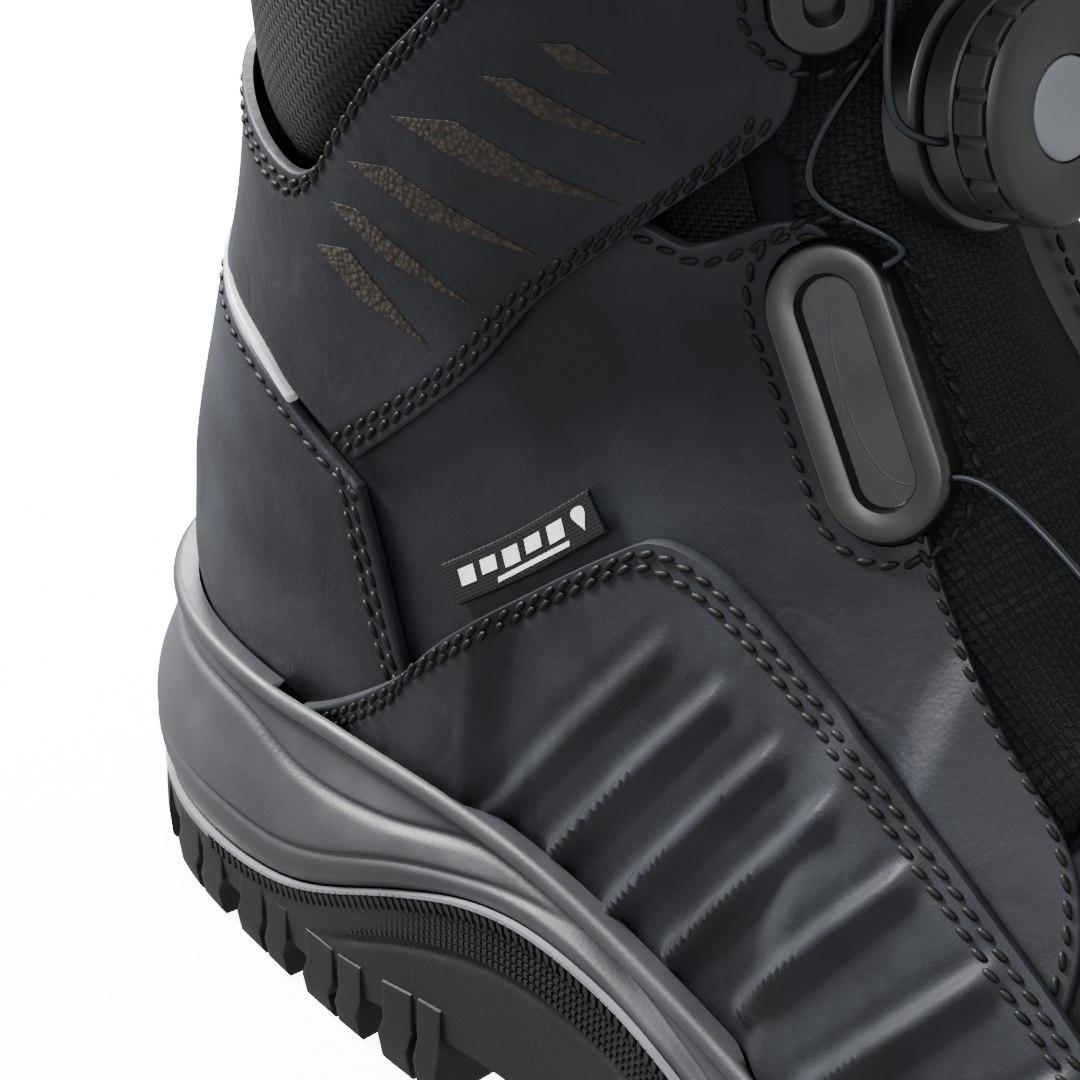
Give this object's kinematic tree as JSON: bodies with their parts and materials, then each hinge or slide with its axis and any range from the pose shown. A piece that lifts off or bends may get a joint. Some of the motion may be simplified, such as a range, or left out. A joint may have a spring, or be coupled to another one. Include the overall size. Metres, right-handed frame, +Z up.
{
  "type": "safety work boot",
  "caption": "Ankle-high steel toe work boot, right foot: black leather, padded collar, ribbed side panels, lugged rubber sole and a dial closure.",
  "frame": {"origin": "centre of the boot's box, on the ground under the sole", "axes": "+X towards the toe, +Y towards the inner (medial) side, +Z up"},
  "size_m": [0.3202, 0.1234, 0.2153],
  "materials": {
    "smooth_leather": "oiled full-grain leather, matt with soft highlights",
    "nubuck": "sanded leather, fine grain, matt",
    "woven_textile": "coarse plain-woven nylon",
    "lining_textile": "knitted spacer lining on a membrane",
    "webbing": "woven tape",
    "woven_label": "woven satin tab",
    "pu_midsole": "foamed polyurethane, satin",
    "rubber_sole": "moulded nitrile rubber",
    "rubber_grip": "soft over-moulded grip",
    "moulded_tpu": "moulded TPU, fine texture",
    "moulded_nylon": "glass-filled nylon, satin",
    "knob_cap": "satin cap",
    "pressed_steel": "pressed steel, coated",
    "screw_steel": "blackened steel",
    "fibre_board": "non-woven fibre board",
    "foam_footbed": "felt-topped foam",
    "reflective_piping": "light grey reflective piping",
    "coated_wire": "nylon-coated steel wire"
  },
  "bodies": {
    "boot": {"outsole": "rubber_sole", "midsole": "pu_midsole", "insole_board": "fibre_board", "puncture_plate": "pressed_steel", "footbed": "foam_footbed", "toe_cap": "pressed_steel", "toe_cap_strip": "foam_footbed", "heel_stiffener": "fibre_board", "membrane_bootie": "lining_textile", "vamp": "smooth_leather", "scuff_cap": "rubber_sole", "side_panel_lateral": "nubuck", "side_panel_medial": "nubuck", "gusset_lateral": "woven_textile", "gusset_medial": "woven_textile", "heel_cover": "nubuck", "heel_piping": "reflective_piping", "collar": "woven_textile", "tongue": "woven_textile", "label": "woven_label", "pull_loop": "webbing", "quarter_lateral": "smooth_leather", "quarter_medial": "smooth_leather", "shaft_lateral": "smooth_leather", "shaft_medial": "smooth_leather", "lower_guide_lateral": "moulded_tpu", "lower_guide_medial": "moulded_tpu", "upper_guide_lateral": "moulded_tpu", "upper_guide_medial": "moulded_tpu", "vamp_guide": "moulded_tpu", "dial_plate": "moulded_tpu", "dial_base": "moulded_nylon", "dial_screw": "screw_steel", "lace_cable": "coated_wire"},
    "spool": {"dial_spool": "moulded_nylon"},
    "knob": {"dial_knob": "moulded_nylon", "knob_grip": "rubber_grip", "knob_cap": "knob_cap"}
  },
  "joints": [
    {"name": "dial_turn", "type": "hinge", "parent": "boot", "child": "spool", "pos_m": [-0.0142, 0.00016, 0.17052], "axis": [0.9573, 0, 0.2891], "continuous": true},
    {"name": "dial_lift", "type": "slide", "parent": "spool", "child": "knob", "axis": [0.9573, 0, 0.2891], "range_m": [0, 0.0025]}
  ]
}
